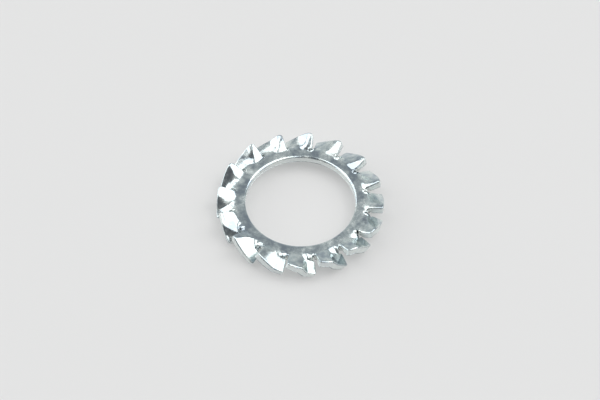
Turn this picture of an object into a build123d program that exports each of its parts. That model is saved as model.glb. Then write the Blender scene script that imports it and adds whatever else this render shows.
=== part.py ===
from build123d import *
import math
import os

# A toothed lock washer: a flat band of spring steel with slits cut in from its rim. The tongue
# between two slits is a tooth, twisted about its own radius so that both of its corners bite.
# Millimetres. The origin is on the axis of the bore, half way through the band, +Z up.
# Each tooth has its clockwise edge raised and its other edge lowered, seen from above.

# Driving dimensions
bore_diameter = 13.2
outer_diameter = 20.0
thickness = 1.0
tooth_count = 16
fold_diameter = 16.4        # circle through the inner ends of the slits
slit_width = 0.22
slit_end_diameter = 0.34    # round end of each slit
slit_end_distance = 8.36    # from the axis to the middle of that end
bore_roll_width = 0.28      # the bore's top edge, drawn in by the punch
bore_roll_depth = 0.15
corner_radius = 0.25        # a tooth's two corners

# The twist of a tooth: three facets, a steep middle one that widens from the fold line to the
# rim, and one on each side that is level across and only climbs or sinks outwards. Heights are
# of the sheet's middle layer, at the rim. The turn draws both of a tooth's corners in.
raised_height = 0.88
lowered_height = -1.22
crease_across = 1.25        # from the tooth's middle line to each crease, at the rim
corner_draw_in = 0.25       # towards the axis
corner_narrowing = 0.20     # towards the tooth's middle line
# Each step is a length past the fold line and the share of those heights reached there.
twist_steps = ((0, 0), (0.15, 0.06), (0.45, 0.38), (0.75, 0.56))

# Worked out from them
half_pitch = 180 / tooth_count
outer_radius = outer_diameter / 2
root_distance = fold_diameter / 2 * math.cos(math.radians(half_pitch))
reach = 3 * thickness       # more than a tooth rises or sinks
middle_height = (raised_height + lowered_height) / 2
middle_tilt = math.degrees(math.atan2(raised_height - lowered_height, 2 * crease_across))


def blank_half_width(distance):
    """Half of the tongue's width, that far from the axis, before it is twisted."""
    return distance * math.tan(math.radians(half_pitch)) - slit_width / 2


def below_facet(rim_height, tilt, side):
    """All that lies below a facet's top, where side is 1, or below its underside, where it is -1.

    The facet's height follows the steps of the twist along the tooth, and its last stretch runs
    on past the rim. Lines across the facet sink by the tilt, from the raised edge to the other.
    """
    steps = [(root_distance + length, share) for length, share in twist_steps]
    last_distance, last_share = steps[-1]
    steps.append((2 * outer_radius - last_distance, 2 - last_share))
    height = rim_height * math.cos(math.radians(tilt))
    middle_layer = [(distance, share * height) for distance, share in steps]
    far_below = -2 * reach
    beyond_rim = steps[-1][0]
    outline = Polyline((0, 0), *middle_layer, (beyond_rim, far_below), (0, far_below), close=True)
    face = offset(make_face(outline), side * thickness / 2, kind=Kind.INTERSECTION)
    across = Plane.XZ.rotated((-tilt, 0, 0))
    return extrude(across * face, outer_radius, both=True)


def below_sheet(side):
    """All that lies below the folded sheet's top, or below its underside, as for a facet."""
    raised = below_facet(raised_height, 0, side)
    middle = below_facet(middle_height, middle_tilt, side)
    lowered = below_facet(lowered_height, 0, side)
    return (middle & raised) + lowered


def tongue_outline():
    """A tooth seen from above: its two cut edges and its rim, with the corners rounded."""
    root = blank_half_width(root_distance)
    corner_distance = outer_radius - corner_draw_in
    corner = blank_half_width(corner_distance) - corner_narrowing
    rim = ThreePointArc((corner_distance, -corner), (outer_radius, 0), (corner_distance, corner))
    edges = Polyline(rim @ 1, (root_distance, root), (root_distance, -root), rim @ 0)
    outline = make_face(rim + edges)
    return fillet(outline.vertices().sort_by(Axis.X)[-2:], corner_radius)


def make_tooth():
    """One tooth on the +X axis: the folded sheet, cut to the tongue's outline."""
    tongue = extrude(tongue_outline(), reach, both=True)
    return (below_sheet(1) - below_sheet(-1)) & tongue


def bore_cutter():
    """The bore, its mouth rolled open at the top in an arc that leaves the top face smoothly."""
    radius = bore_diameter / 2
    mouth = (radius + bore_roll_width, thickness / 2)
    wall_top = (radius, thickness / 2 - bore_roll_depth)
    roll = TangentArc(mouth, wall_top, tangent=(-1, 0))
    axis = ((0, -thickness), (0, thickness / 2))
    outline = Polyline(wall_top, (radius, -thickness), *axis, mouth)
    return revolve(Plane.XZ * make_face(roll + outline), Axis.Z)


def make_band():
    """The flat ring inside the fold lines, which are chords between the slit ends."""
    outline = RegularPolygon(fold_diameter / 2, tooth_count, major_radius=True, rotation=half_pitch)
    return extrude(outline, thickness / 2, both=True) - bore_cutter()


def make_washer():
    """The band with its teeth, and a round end to each slit."""
    tooth = make_tooth()
    around = PolarLocations(0, tooth_count)
    teeth = [place * tooth for place in around]
    washer = make_band() + teeth
    slit_end = Cylinder(slit_end_diameter / 2, 2 * reach)
    slit_ends = PolarLocations(slit_end_distance, tooth_count, start_angle=half_pitch)
    return washer - [place * slit_end for place in slit_ends]


os.makedirs("parts", exist_ok=True)
lock_washer = make_washer()
lock_washer.label = "lock_washer"
export_step(lock_washer, "parts/lock_washer.step")

box = lock_washer.bounding_box()
print("solids", len(lock_washer.solids()), "valid", lock_washer.is_valid)
print("size", box.size, "lowest", box.min.Z, "volume", lock_washer.volume)
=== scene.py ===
import math

import bpy
import numpy as np
from mathutils import Matrix, Vector


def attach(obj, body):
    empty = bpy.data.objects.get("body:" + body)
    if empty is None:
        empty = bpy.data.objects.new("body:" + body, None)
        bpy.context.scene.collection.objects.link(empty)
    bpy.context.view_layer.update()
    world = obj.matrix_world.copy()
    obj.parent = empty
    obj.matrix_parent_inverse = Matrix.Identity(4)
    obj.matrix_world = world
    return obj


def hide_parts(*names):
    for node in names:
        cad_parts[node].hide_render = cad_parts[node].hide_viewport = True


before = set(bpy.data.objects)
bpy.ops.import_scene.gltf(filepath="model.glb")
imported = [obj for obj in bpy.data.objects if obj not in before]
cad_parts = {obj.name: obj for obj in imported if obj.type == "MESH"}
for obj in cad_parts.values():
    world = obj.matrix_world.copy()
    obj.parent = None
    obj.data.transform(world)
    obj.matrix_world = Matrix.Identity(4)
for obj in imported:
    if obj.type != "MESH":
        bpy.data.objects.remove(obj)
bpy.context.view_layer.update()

# --------------------------------------------------------------------------------------------
# The washer. One blank of 1 mm spring steel is punched out and slit from its rim, and a press
# twists each tongue between two slits about its own radius, so that its clockwise corner stands
# up and the other hangs down. Then the washer is hardened and plated with zinc.
# --------------------------------------------------------------------------------------------
mm = 0.001
tooth_count = 16
half_pitch = math.radians(180 / tooth_count)
bore_radius = 6.6 * mm
rim_radius = 10.0 * mm
half_thickness = 0.5 * mm
slit_half_width = 0.11 * mm
slit_end_radius = 0.17 * mm        # round end of each slit
slit_end_distance = 8.36 * mm      # from the axis to the middle of that end
corner_radius = 0.25 * mm          # a tooth's two corners, seen on the flat blank
top_edge_radius = 0.12 * mm        # drawn in by the punch
bottom_edge_radius = 0.10 * mm
bore_roll_width = 0.28 * mm        # the bore's top edge is drawn in much further
bore_roll_depth = 0.15 * mm
fold_distance = 8.02 * mm          # from the axis to the line where a tooth starts to twist
fold_softness = 0.14 * mm
start_softness = 1.5 * fold_softness   # of the bend right at the fold line
web_softness = 0.20 * mm           # half width of the sheared web inside each slit end
least_web = 0.01 * mm              # the same, alongside the open slit

# The twist: three facets, a steep middle one that starts at the fold line and one on each side,
# mostly flatter, raised or lowered.
tooth_length = rim_radius - fold_distance
half_width_at_rim = rim_radius * math.sin(half_pitch)
stretch = 0.5                      # share of the narrowing by the twist that the press draws out
crease_softness = 0.09 * mm
normal_softness = 0.4 * mm         # softness of the creases that the layers' direction is taken from
nudge = 0.02 * mm                  # half step for the slopes of a surface
tilt_samples = 28                  # places across a tooth at which its tilt is summed up


def soft_ramp(distance, softness):
    """Nothing before 0 and the distance itself after it, with the corner rounded off."""
    return (distance + np.sqrt(distance**2 + softness**2)) / 2


def soft_step(distance, softness):
    """0 well before the line, 1 well after it, following a hyperbolic tangent."""
    return 0.5 + 0.5 * np.tanh(distance / softness)


def share_past_fold(along, length):
    """0 up to the fold line, then growing evenly to 1 over that length, both ends rounded off."""
    past = along - fold_distance
    return (soft_ramp(past, fold_softness) - soft_ramp(past - length, fold_softness)) / length


def each_tooth(*values):
    """One value a tooth, shaped so that it spreads over the tooth's grid."""
    return np.array(values).reshape(tooth_count, 1, 1)


# Tooth by tooth, clockwise from the one straight behind the bore. Tilts are at the rim, in
# degrees. Creases are measured from the tooth's middle line, in millimetres.
raised_tilt = np.radians(each_tooth(10, 16, 12, 6, 2, 4, 2, 12, 24, 43, 5, 25, 23, 8, 4, 6))
middle_tilt = np.radians(each_tooth(45, 40, 39, 38, 38, 40, 50, 70, 75, 43, 40, 58, 56, 42, 44, 42))
lowered_tilt = np.radians(each_tooth(38, 39, 39, 38, 38, 42, 46, 46, 22, 14, 40, 25, 29, 38, 34, 17))
upper_crease_at_fold = mm * each_tooth(
    0.8, 0.35, 0.35, 0.9, 1.0, -0.4, 0.6, 0.4, 0.15, 0.8, 0.4, -1.6, 0.1, 0.25, 0.3, 0.5)
upper_crease_at_rim = mm * each_tooth(
    1.4, 1.65, 1.65, 1.65, 1.3, 1.3, 0.8, 0.5, 0.2, 1.7, 1.6, 0.6, 0.78, 1.5, 1.75, 1.6)
lower_crease_at_fold = mm * each_tooth(
    -1.5, -1.5, -1.5, -1.5, -1.5, -1.5, 0.2, -0.1, -0.5, -0.1, -1.5, -1.6, -0.3, -1.5, 0.0, -0.7)
lower_crease_at_rim = mm * each_tooth(
    -1.8, -1.8, -1.8, -1.8, -1.8, -1.8, 0.3, -0.2, -0.6, -0.5, -1.8, -0.7, -0.75, -1.8, 1.15, 0.6)
middle_height = mm * each_tooth(           # of the tooth's own middle, at the rim
    -0.15, -0.15, -0.15, -0.15, -0.1, -0.05, 0.2, 0.1,
    0.05, -0.1, -0.05, 0.0, 0.0, -0.15, 0.05, -0.22)
started = each_tooth(                      # share of the tilt reached just past the fold line
    0.42, 0.5, 0.5, 0.5, 0.6, 0.6, 0.5, 0.4, 0.35, 0.45, 0.75, 0.25, 0.25, 0.25, 0.4, 0.5)
raised_started = each_tooth(0, 0, 0, 0, 0, 0, 0, 0, 0, 0.3, 0, 0.75, 0.75, 0, 0, 0)
turned_after = mm * each_tooth(            # length past the fold line where the tilt is full
    1.9, 1.9, 1.9, 1.9, 1.9, 1.9, 1.9, 1.9, 1.9, 1.9, 1.9, 1.9, 1.9, 1.1, 1.2, 1.9)
drawn_in = mm * each_tooth(                # how far the raised corner lies nearer to the axis
    0, 0, 0, 0, 0, 0, 0.40, 0.25, 0, 0, 0, 0, 0, 0, 0, 0)
set_back_share = 1.6   # 1 sets the lower half of a rising tooth's rim plumb, and more sets it back

# The punch leaves a small round lump inside each slit's end. Slit by slit, clockwise from the
# one at the first tooth's clockwise side: how far clockwise of the slit, and how high.
lump_distance = 7.98 * mm
lump_radius = 0.40 * mm
lump_offset = mm * each_tooth(
    -0.28, 0.1, 0.0, 0.1, 0.1, 0.12, 0.3, 0.5, 0.55, 0.7, 0.7, 0.2, 0.2, 0.2, 0.2, 0.2)
lump_height = mm * each_tooth(
    0.25, 0.20, 0.20, 0.20, 0.20, 0.20, 0.20, 0.20, 0.20, 0.20, 0.20, 0.05, 0.05, 0.05, 0.05, 0.10)


def lumps(along, across):
    """Height of the lumps at a point of the blank: each is its own height times the square of
    1 less the square of (distance from its middle / radius). The lumps at both of a tooth's slits
    count, so the tooth's own values and those of the tooth before it are used."""
    total = 0
    for side, offset, height in (
        (1, lump_offset, lump_height),
        (-1, np.roll(lump_offset, 1, axis=0), np.roll(lump_height, 1, axis=0)),
    ):
        angle = side * half_pitch + offset / lump_distance
        middle_along = lump_distance * np.cos(angle)
        middle_across = lump_distance * np.sin(angle)
        away = np.hypot(along - middle_along, across - middle_across)
        total = total + height * np.clip(1 - (away / lump_radius) ** 2, 0, 1) ** 2
    return total


def tilt_across(along, across, softness):
    """Tilt of the tooth's section: one between the two creases and one on each side of them. The
    creases shift evenly from the fold line to the rim. Each tilt has reached its started share
    just past the fold line, which is often none of it, and grows evenly from that to the full."""
    share = share_past_fold(along, tooth_length)
    upper = upper_crease_at_fold + share * (upper_crease_at_rim - upper_crease_at_fold)
    lower = lower_crease_at_fold + share * (lower_crease_at_rim - lower_crease_at_fold)
    above = soft_step(across - upper, softness)
    below = soft_step(lower - across, softness)
    turned = share_past_fold(along, turned_after)
    begun = soft_step(along - fold_distance, start_softness)
    raised = raised_tilt * (raised_started * begun + (1 - raised_started) * share)
    middle = middle_tilt * (1 - above) * (1 - below) + lowered_tilt * below
    return raised * above + middle * (started * begun + (1 - started) * turned)


def middle_surface(along, across, softness):
    """Where a point of the flat blank's middle layer goes. The step across and the climb are the
    integrals of the tilt's cosine and sine from the tooth's middle line, taken by Gauss's rule.
    The climb is multiplied by the hyperbolic tangent of the distance to the line between two
    teeth, over the web's half width, so it dies away there. The distance along the tooth stays,
    less what a drawn-in corner loses, which grows with the square of the distance across."""
    places, weights = np.polynomial.legendre.leggauss(tilt_samples)
    step = across * 0
    climb = across * 0
    for place, weight in zip((places + 1) / 2, weights / 2):
        tilt = tilt_across(along, across * place, softness)
        step = step + weight * np.cos(tilt)
        climb = climb + weight * np.sin(tilt)
    step = (step + stretch * (1 - step)) * across
    climb = climb * across + middle_height * share_past_fold(along, tooth_length)
    from_line = along * math.sin(half_pitch) - np.abs(across) * math.cos(half_pitch)
    on_line = along * math.cos(half_pitch) + np.abs(across) * math.sin(half_pitch)
    into_end = on_line - slit_end_distance + slit_end_radius
    past_end = np.clip(into_end / (2 * slit_end_radius), 0, 1)
    half_web = web_softness * (1 - past_end**2 * (3 - 2 * past_end)) + least_web
    meeting = np.tanh(np.maximum(from_line, 0) / half_web)
    to_corner = np.maximum(across, 0) / half_width_at_rim
    reach = along - drawn_in * share_past_fold(along, tooth_length) * to_corner**2
    return np.stack([reach + 0 * across, step, climb * meeting], axis=-1)


def pressed(along, across, height):
    """A point of the blank, that high above its middle layer, after the press: its place on the
    middle surface, plus the height along that surface's normal. The normal is the cross product
    of the slopes of the same surface with softer creases. Where it leans to the axis, the lean is
    multiplied for the lower half of the sheet by 1 less the set-back share, times the square of
    the share of the way from the fold line to the rim."""

    def slope(along_nudge, across_nudge):
        """The surface's place one nudge ahead, less its place one nudge behind."""
        ahead = middle_surface(along + along_nudge, across + across_nudge, normal_softness)
        behind = middle_surface(along - along_nudge, across - across_nudge, normal_softness)
        return ahead - behind

    normal = np.cross(slope(nudge, 0), slope(0, nudge))
    normal = normal / np.linalg.norm(normal, axis=-1, keepdims=True)
    leans_out = (height < 0) & (normal[..., 0] < 0)
    set_back = 1 - set_back_share * share_past_fold(along, tooth_length) ** 2
    normal[..., 0] = np.where(leans_out, set_back * normal[..., 0], normal[..., 0])
    return middle_surface(along, across, crease_softness) + height[..., None] * normal


# The flat blank of one tooth: rows of points at one radius each, from the bore to the rim. A row
# ends on the line between two teeth, then on the round slit end, then on the side of the slit.
end_row_count = 9
band_row_count = 11
side_row_count = 20
roll_shares = np.array([0, 0.02, 0.06, 0.13, 0.23, 0.36, 0.52, 0.70, 0.86, 1])
rim_steps = np.array([0.10, 0.06, 0.03, 0.01, 0]) * mm
side_rows_end = rim_radius - 0.15 * mm
slit_mouth = math.pi - math.asin(slit_half_width / slit_end_radius)
round_the_end = np.linspace(0, slit_mouth, end_row_count)
end_along = slit_end_distance - slit_end_radius * np.cos(round_the_end)
end_across = slit_end_radius * np.sin(round_the_end)
bore_rows = bore_radius + bore_roll_width * roll_shares
band_rows = np.linspace(bore_rows[-1], end_along[0], band_row_count)[1:-1]
side_rows = np.linspace(end_along[-1], side_rows_end, side_row_count)[1:]
rim_rows = rim_radius - rim_steps
line_along = np.concatenate([bore_rows, band_rows, end_along, side_rows, rim_rows])
slit_row = len(bore_rows) + len(band_rows)
straight_side = np.full(len(side_rows) + len(rim_rows), slit_half_width)
line_across = np.concatenate([np.zeros(slit_row), end_across, straight_side])
row_radius = np.hypot(line_along, line_across)[:, None]
row_half_angle = half_pitch - np.arctan2(line_across, line_along)[:, None]

# Across a row the points stand close together near both sides and evenly spaced between them.
# The rows near the rim are pulled in at their ends, which rounds off the tooth's corners.
side_steps = np.array([0, 0.006, 0.02, 0.04, 0.07, 0.11])
even_share = 0.85
even_count = 33
corner_reach = 4 * corner_radius   # from the rim, as far as the rounding pulls rows in
near_side = 1 - side_steps
even_part = np.linspace(-even_share, even_share, even_count)
across_share = np.concatenate([-near_side, even_part, near_side[::-1]])[None, :]
to_side_of_row = (1 - np.abs(across_share)) * row_half_angle * row_radius
blunt = np.clip(1 - to_side_of_row / corner_radius, 0, 1)
near_rim = np.clip(1 - (rim_radius - row_radius) / corner_reach, 0, 1)
blank_radius = row_radius - near_rim * corner_radius * (1 - np.sqrt(1 - blunt**2))
blank_angle = across_share * row_half_angle
blank_along = blank_radius * np.cos(blank_angle)
blank_across = blank_radius * np.sin(blank_angle)


def distance_to_cut(along, across):
    """Distance on the blank to its nearest cut edge, the least of three: the rim's radius less the
    point's, the distance to the slit's side, and that to the middle of its round end less the
    end's radius. Short of the slit its side doesn't count."""
    out_of_reach = 1
    radius = np.hypot(along, across)
    line = along * math.cos(half_pitch) + np.abs(across) * math.sin(half_pitch)
    off_line = along * math.sin(half_pitch) - np.abs(across) * math.cos(half_pitch)
    to_end = np.hypot(line - slit_end_distance, off_line) - slit_end_radius
    to_side = np.where(line > slit_end_distance, off_line - slit_half_width, out_of_reach)
    return np.maximum(np.minimum(np.minimum(to_end, to_side), blank_radius[-1:] - radius), 0)


def rounding(distance, width, depth):
    """How far a face drops at that distance from its edge, by a quarter of an ellipse: the depth
    times 1 less the root of 1 less the square of the share of the width that is still to go."""
    short = np.clip(1 - distance / width, 0, 1)
    return depth * (1 - np.sqrt(1 - short**2))


to_cut = distance_to_cut(blank_along, blank_across)
to_bore = np.maximum(np.hypot(blank_along, blank_across) - bore_radius, 0)
bore_roll = rounding(to_bore, bore_roll_width, bore_roll_depth)
spread = np.ones((tooth_count, 1, 1))
top_height = half_thickness - bore_roll - rounding(to_cut, top_edge_radius, top_edge_radius)
top_height = top_height + lumps(blank_along, blank_across)
to_edge = np.minimum(to_cut, to_bore)
bottom_height = rounding(to_edge, bottom_edge_radius, bottom_edge_radius) - half_thickness
bottom_height = bottom_height * spread


def face_grid(height):
    """Corners of a face of every tooth, before it is turned into place."""
    return pressed(blank_along * spread, blank_across * spread, height)


def wall_grid(along, across, top, bottom, layers=9):
    """A cut wall of every tooth, on a grid of layers and of points along a line of the blank: the
    height runs evenly from the top's to the bottom's, and the press turns it with the sheet."""
    down = np.linspace(0, 1, layers)[:, None]
    height = top[:, None] + (bottom - top)[:, None] * down
    return pressed(along * np.ones_like(height), across * np.ones_like(height), height)


def sheet_of_quads(shape, flip):
    """Corner numbers of the squares of a grid of that many rows and columns, in the order that
    gives down a row, along it and back up, or the other way round."""
    rows, columns = shape
    number = np.arange(rows * columns).reshape(rows, columns)
    quads = np.stack([number[:-1, :-1], number[1:, :-1], number[1:, 1:], number[:-1, 1:]], axis=-1)
    quads = quads.reshape(-1, 4)
    return quads[:, ::-1] if flip else quads


def tooth_side(side):
    """The cut wall along one side of a tooth, round the slit's end and on to the rim."""
    rows = slice(slit_row, None)
    along = blank_along[rows, side]
    across = blank_across[rows, side]
    return wall_grid(along, across, top_height[:, rows, side], bottom_height[:, rows, side])


def tooth_row(row):
    """The cut wall along a row: the bore's or the rim's."""
    return wall_grid(blank_along[row], blank_across[row], top_height[:, row], bottom_height[:, row])


# Each grid, whether its squares are flipped, and how much of a cut wall's look it has. The bore's
# and the rim's walls get less of the pale cut colour than the slits' walls, partly as painted shade
# that keeps them darker. As they stand, the squares of the two faces point into the sheet and those
# of the four walls out of it.
face_look = 0
bore_cut_look_and_shade = 0.75
rim_cut_look_and_shade = 0.65
slit_look = 1
grids = [
    (face_grid(top_height), False, face_look),
    (face_grid(bottom_height), True, face_look),
    (tooth_row(0), False, bore_cut_look_and_shade),
    (tooth_row(-1), True, rim_cut_look_and_shade),
    (tooth_side(0), True, slit_look),
    (tooth_side(-1), False, slit_look),
]

# Every grid is turned round the axis to its tooth, and points within the weld distance of each
# other are made one. On the line between two teeth many points of the two lie further apart than
# that, by micrometres near the bore and by up to 0.32 mm at the slit ends. They stay two, so the
# shell is open along that line.
weld_distance = 0.0005 * mm
turn = math.pi / 2 - np.arange(tooth_count) * 2 * half_pitch
corners = []
faces = []
cut = []
count = 0
for grid, flip, is_cut in grids:
    shape = grid.shape[1:3]
    along, across, climb = np.moveaxis(grid.reshape(tooth_count, -1, 3), -1, 0)
    # The tooth's clockwise side is its high side, so the step across is laid off clockwise.
    x = along * np.cos(turn)[:, None] + across * np.sin(turn)[:, None]
    y = along * np.sin(turn)[:, None] - across * np.cos(turn)[:, None]
    corners.append(np.stack([x, y, climb], axis=-1).reshape(-1, 3))
    quads = sheet_of_quads(shape, flip)
    size = shape[0] * shape[1]
    starts = count + np.arange(tooth_count)[:, None, None] * size
    faces.append((quads[None] + starts).reshape(-1, 4))
    cut.append(np.full(tooth_count * size, float(is_cut)))
    count += tooth_count * size
corners = np.concatenate(corners)
faces = np.concatenate(faces)
cut = np.concatenate(cut)
_, first, merged = np.unique(
    np.round(corners / weld_distance), axis=0, return_index=True, return_inverse=True
)
corners = corners[first]
cut = cut[first]
faces = merged.reshape(-1)[faces]

washer_mesh = bpy.data.meshes.new("lock_washer_plated")
washer_mesh.from_pydata(corners.tolist(), [], faces.tolist())
washer_mesh.validate()
washer_mesh.polygons.foreach_set("use_smooth", np.ones(len(washer_mesh.polygons), bool))
washer_mesh.update()
cut_mark = washer_mesh.attributes.new("cut", "FLOAT", "POINT")
cut_mark.data.foreach_set("value", cut.astype(np.float32))
washer = bpy.data.objects.new("lock_washer_plated", washer_mesh)
bpy.context.scene.collection.objects.link(washer)


class Wire:
    """One output of a shader node. An expression on wires adds the Math nodes that work it out."""

    def __init__(self, tree, socket=None):
        """Keeps the node tree and the output; without an output it only adds nodes."""
        self.tree = tree
        self.socket = socket

    def node(self, kind, settings=None, sockets=None, output=0):
        """Adds a node: its settings first, then the values or wires of its sockets."""
        made = self.tree.nodes.new(kind)
        for name, value in (settings or {}).items():
            if name == "stops":
                ramp = made.color_ramp.elements
                while len(ramp) < len(value):
                    ramp.new(0.5)
                for element, (place, colour) in zip(ramp, value):
                    element.position = place
                    element.color = colour
            else:
                setattr(made, name, value)
        for name, value in (sockets or {}).items():
            if isinstance(value, Wire):
                self.tree.links.new(value.socket, made.inputs[name])
            else:
                made.inputs[name].default_value = value
        return Wire(self.tree, made.outputs[output] if made.outputs else None)

    def math(self, operation, *values):
        """Adds a Math node that works the operation out on these values or wires."""
        return self.node("ShaderNodeMath", {"operation": operation}, dict(enumerate(values)))

    def __add__(self, other):
        """This wire plus the other."""
        return self.math("ADD", self, other)

    def __sub__(self, other):
        """This wire less the other."""
        return self.math("SUBTRACT", self, other)

    def __rsub__(self, other):
        """The other less this wire."""
        return self.math("SUBTRACT", other, self)

    def __mul__(self, other):
        """This wire times the other."""
        return self.math("MULTIPLY", self, other)

    __radd__ = __add__
    __rmul__ = __mul__


# The plating: bright zinc with a faint blue passivation, cloudy where it grew unevenly. The cut
# walls are paler, less like a mirror and rougher.
blotch_scale = 1100.0              # of the patterns, in waves a metre
cloud_scale = 420.0
grain_scale = 7000.0
blotch_share = 0.5
cloud_share = 0.5
dark_zinc = (0.45, 0.52, 0.57, 1)
grey_zinc = (0.63, 0.71, 0.72, 1)
pale_zinc = (0.82, 0.89, 0.87, 1)
cut_zinc = (0.90, 0.93, 0.91, 1)
grain_depth = 0.3                  # against the blotches
bump_strength = 0.5
bump_depth = 0.03 * mm
cut_dullness = 0.5                 # how much less metallic the slits' walls are
roughness_swing = 0.9
roughness_drop = 0.27
cut_roughness = 0.45
zinc = bpy.data.materials.new("blue_zinc_plate")
zinc.use_nodes = True
tree = zinc.node_tree
tree.nodes.clear()
plate = Wire(tree)
place = plate.node("ShaderNodeTexCoord", output="Object")
blotch = plate.node(
    "ShaderNodeTexNoise",
    {},
    {"Vector": place, "Scale": blotch_scale, "Detail": 3.0, "Roughness": 0.6},
)
cloud = plate.node("ShaderNodeTexNoise", {}, {"Vector": place, "Scale": cloud_scale, "Detail": 2.0})
shading = blotch * blotch_share + cloud * cloud_share
grain = plate.node("ShaderNodeTexNoise", {}, {"Vector": place, "Scale": grain_scale, "Detail": 2.0})
colour = plate.node(
    "ShaderNodeValToRGB",
    {"stops": [(0.40, dark_zinc), (0.50, grey_zinc), (0.60, pale_zinc)]},
    {"Fac": shading},
)
bump = plate.node(
    "ShaderNodeBump",
    {},
    {"Height": grain * grain_depth + blotch, "Strength": bump_strength, "Distance": bump_depth},
)
on_cut = plate.node("ShaderNodeAttribute", {"attribute_name": "cut"}, output="Fac")
first_colour = 6                   # the Mix node's colour sockets, by their numbers
second_colour = 7
mixed_colour = 2
shade = plate.node(
    "ShaderNodeMix",
    {"data_type": "RGBA"},
    {"Factor": on_cut, first_colour: colour, second_colour: cut_zinc},
    output=mixed_colour,
)
finish = plate.node(
    "ShaderNodeBsdfPrincipled",
    {},
    {
        "Base Color": shade,
        "Metallic": 1.0 - on_cut * cut_dullness,
        "Roughness": shading * roughness_swing - roughness_drop + on_cut * cut_roughness,
        "Normal": bump,
    },
)
plate.node("ShaderNodeOutputMaterial", {}, {"Surface": finish})
washer_mesh.materials.append(zinc)

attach(washer, "root")
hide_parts("lock_washer")

# --------------------------------------------------------------------------------------------
# The table top: a plain, pale and matt sheet. The washer lies loose on it, on the lowest corner
# of its teeth. Part of the sheet's brightness is its own, seen directly or in the metal.
# --------------------------------------------------------------------------------------------
table_level = corners[:, 2].min()
table_reach = 0.6
table_colour = (0.765, 0.765, 0.76, 1)
glow_colour = (0.739, 0.739, 0.733, 1)
glow_share = 0.44
table_mesh = bpy.data.meshes.new("table_top")
table_mesh.from_pydata(
    [(x, y, table_level) for x, y in [(-1, -1), (1, -1), (1, 1), (-1, 1)]], [], [(0, 1, 2, 3)]
)
table_mesh.transform(Matrix.Diagonal((table_reach, table_reach, 1, 1)))
table = bpy.data.objects.new("table_top", table_mesh)
bpy.context.scene.collection.objects.link(table)
paper = bpy.data.materials.new("pale_table")
paper.use_nodes = True
paper.node_tree.nodes.clear()
sheet = Wire(paper.node_tree)
matt = sheet.node("ShaderNodeBsdfDiffuse", {}, {"Color": table_colour})
glow = sheet.node("ShaderNodeEmission", {}, {"Color": glow_colour, "Strength": 1.0})
straight_ray = sheet.node("ShaderNodeLightPath", output="Is Camera Ray")
mirrored_ray = sheet.node("ShaderNodeLightPath", output="Is Glossy Ray")
passed_ray = sheet.node("ShaderNodeLightPath", output="Is Transmission Ray")
seen = straight_ray + mirrored_ray + passed_ray
lift = sheet.node("ShaderNodeMixShader", {}, {0: seen * glow_share, 1: matt, 2: glow})
sheet.node("ShaderNodeOutputMaterial", {}, {"Surface": lift})
table_mesh.materials.append(paper)

# --------------------------------------------------------------------------------------------
# The lamps: four broad soft boxes in a grey room. Two stand to the left and two to the right of
# the washer, one of each pair higher up. The room is dark behind the camera and pale opposite.
# --------------------------------------------------------------------------------------------
lamp_radiance = 1.7
room_stops = [
    (0.35, (0.17, 0.17, 0.175, 1)),
    (0.60, (0.37, 0.385, 0.40, 1)),
    (0.84, (0.375, 0.39, 0.405, 1)),
    (0.96, (0.56, 0.58, 0.59, 1)),
]
world = bpy.data.worlds.new("grey_room")
bpy.context.scene.world = world
world.use_nodes = True
room = Wire(world.node_tree)
direction = room.node("ShaderNodeTexCoord", output="Generated")
away_from_camera = room.node("ShaderNodeSeparateXYZ", {}, {"Vector": direction}, output="Y")
room_shade = room.node(
    "ShaderNodeValToRGB", {"stops": room_stops}, {"Fac": away_from_camera * 0.5 + 0.5}
)
background = world.node_tree.nodes["Background"]
world.node_tree.links.new(room_shade.socket, background.inputs["Color"])


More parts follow.
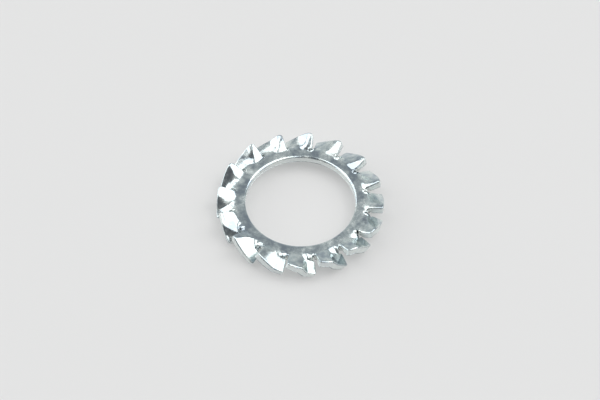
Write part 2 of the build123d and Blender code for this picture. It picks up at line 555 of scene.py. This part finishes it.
def soft_box(name, bearing, height, distance, width, tall):
    """A rectangular lamp that faces the bore's centre from that distance. Bearing is clockwise
    from straight behind the washer and height is above the table, both in degrees. The sizes are
    in metres. Its power is the lamps' radiance times pi times its area."""
    lamp = bpy.data.lights.new(name, "AREA")
    lamp.shape = "RECTANGLE"
    lamp.size = width
    lamp.size_y = tall
    lamp.energy = lamp_radiance * math.pi * width * tall
    box = bpy.data.objects.new(name, lamp)
    turned_by = math.radians(bearing)
    raised_by = math.radians(height)
    flat = math.cos(raised_by)
    away = Vector((math.sin(turned_by) * flat, math.cos(turned_by) * flat, math.sin(raised_by)))
    box.location = away * distance
    box.rotation_mode = "QUATERNION"
    box.rotation_quaternion = away.to_track_quat("Z", "Y")
    bpy.context.scene.collection.objects.link(box)


soft_box("left_box", bearing=-80.5, height=24, distance=0.8, width=1.09, tall=0.55)
soft_box("right_box", bearing=92, height=43, distance=0.8, width=0.76, tall=0.56)
soft_box("top_left_box", bearing=-62, height=62, distance=0.95, width=0.66, tall=0.50)
soft_box("top_right_box", bearing=98, height=71, distance=0.95, width=1.06, tall=0.54)

# --------------------------------------------------------------------------------------------
# The camera: a long lens that looks down on the washer from the front, turned and tipped by a
# degree or so. It stands still, 0.18 m from the middle of the bore.
# --------------------------------------------------------------------------------------------
camera_height = math.radians(53.4)
camera_bearing = math.radians(-1.5)
camera_roll = math.radians(1.2)
camera_distance = 0.180
picture_width = 600
pixels_per_metre = 8350
bore_centre_right = 0.45           # pixels from the middle of the picture to the bore's centre
bore_centre_down = 2.8
sensor_width = 36                  # in millimetres, as a lens is
camera_data = bpy.data.cameras.new("camera")
camera_data.sensor_width = sensor_width
camera_data.lens = sensor_width * camera_distance * pixels_per_metre / picture_width
camera_data.clip_start = 0.01
camera = bpy.data.objects.new("camera", camera_data)
bpy.context.scene.collection.objects.link(camera)
bpy.context.scene.camera = camera
back = Vector(
    (
        math.sin(camera_bearing) * math.cos(camera_height),
        -math.cos(camera_bearing) * math.cos(camera_height),
        math.sin(camera_height),
    )
)
level_right = Vector((0, 0, 1)).cross(back).normalized()
level_up = back.cross(level_right)
right = level_right * math.cos(camera_roll) + level_up * math.sin(camera_roll)
up = level_up * math.cos(camera_roll) - level_right * math.sin(camera_roll)
target = up * (bore_centre_down / pixels_per_metre) - right * (bore_centre_right / pixels_per_metre)
camera.matrix_world = Matrix((right, up, back)).transposed().to_4x4()
camera.location = target + back * camera_distance

bpy.context.scene.view_settings.view_transform = "Standard"
